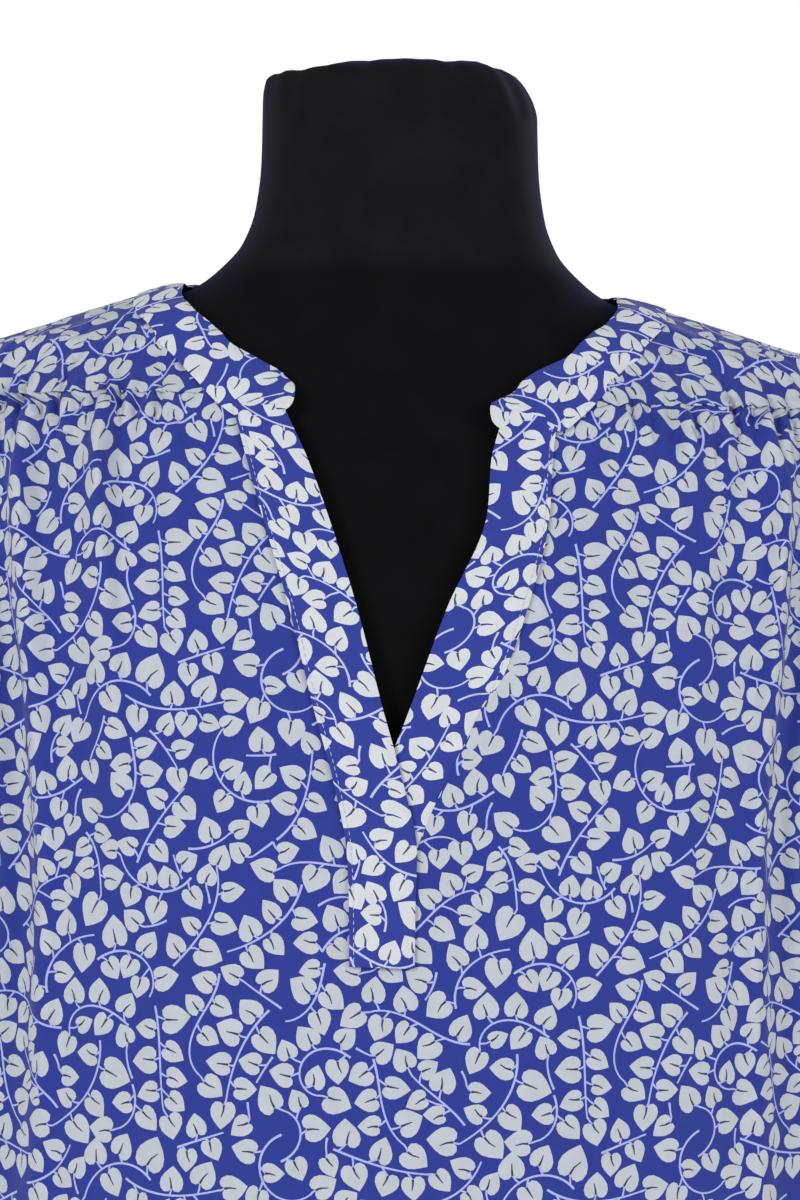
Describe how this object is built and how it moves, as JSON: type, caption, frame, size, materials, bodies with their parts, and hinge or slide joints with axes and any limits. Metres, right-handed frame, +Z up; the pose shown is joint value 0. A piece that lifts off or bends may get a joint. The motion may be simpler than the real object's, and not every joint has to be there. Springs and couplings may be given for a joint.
{
  "type": "blouse on a dress form",
  "caption": "Loose printed blouse with an open split neckband, gathered yoke and short sleeves, worn by a limbless dress form that stands on its flat underside.",
  "frame": {"origin": "middle of the dress form's flat underside, where it stands", "axes": "+Z up to the neck, -Y the way the front faces, +X the wearer's left"},
  "size_m": [0.527, 0.3304, 0.8371],
  "materials": {
    "printed_cloth": "light matt woven viscose, royal blue with an off-white leaf print all over",
    "black_jersey": "black stretch jersey over a firm torso form"
  },
  "bodies": {
    "root": {"front": "printed_cloth", "back": "printed_cloth", "yoke": "printed_cloth", "neckband": "printed_cloth", "placket_upper": "printed_cloth", "placket_under": "printed_cloth", "sleeve_left": "printed_cloth", "sleeve_right": "printed_cloth", "dress_form": "black_jersey"}
  },
  "joints": []
}
